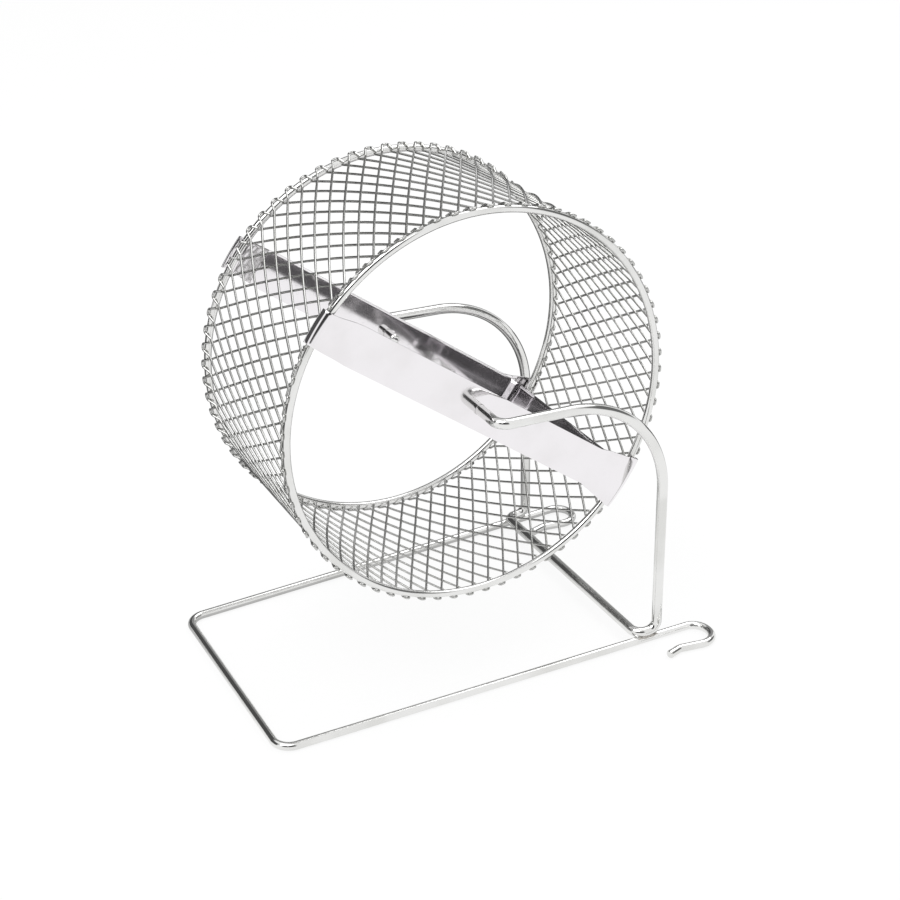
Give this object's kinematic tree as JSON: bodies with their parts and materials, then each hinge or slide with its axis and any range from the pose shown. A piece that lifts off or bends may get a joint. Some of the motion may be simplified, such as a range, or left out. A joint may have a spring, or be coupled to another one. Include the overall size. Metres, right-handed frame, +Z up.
{
  "type": "rodent exercise wheel",
  "caption": "Wire-mesh exercise wheel for a rodent: an open drum with two flat cross strips turns on inward pins of a bent-wire stand, whose base ends in flat hooks for cage bars.",
  "frame": {"origin": "on the floor plane that the base wire rests on, straight below the middle of the drum's axle line", "axes": "+X towards the uprights and the cage hooks, +Y along the drum's axis to the back, +Z up"},
  "size_m": [0.2403, 0.1621, 0.2494],
  "materials": {
    "plated_wire": "bright plated steel wire with fine draw lines",
    "rim_wire": "bright plated steel wire ring",
    "polished_sheet": "mirror polished steel sheet",
    "mesh_wire": "bright plated thin steel wire, laid in two layers and welded where they cross"
  },
  "bodies": {
    "stand": {"base_wire": "plated_wire", "portal_wire": "plated_wire"},
    "wheel": {"front_rim": "rim_wire", "back_rim": "rim_wire", "front_strip": "polished_sheet", "back_strip": "polished_sheet", "seam_plate": "polished_sheet", "mesh_wires_left_hand": "mesh_wire", "mesh_wires_right_hand": "mesh_wire"}
  },
  "joints": [
    {"name": "wheel_spin", "type": "hinge", "parent": "stand", "child": "wheel", "pos_m": [0, 0, 0.14815], "axis": [0, 1, 0], "continuous": true}
  ]
}
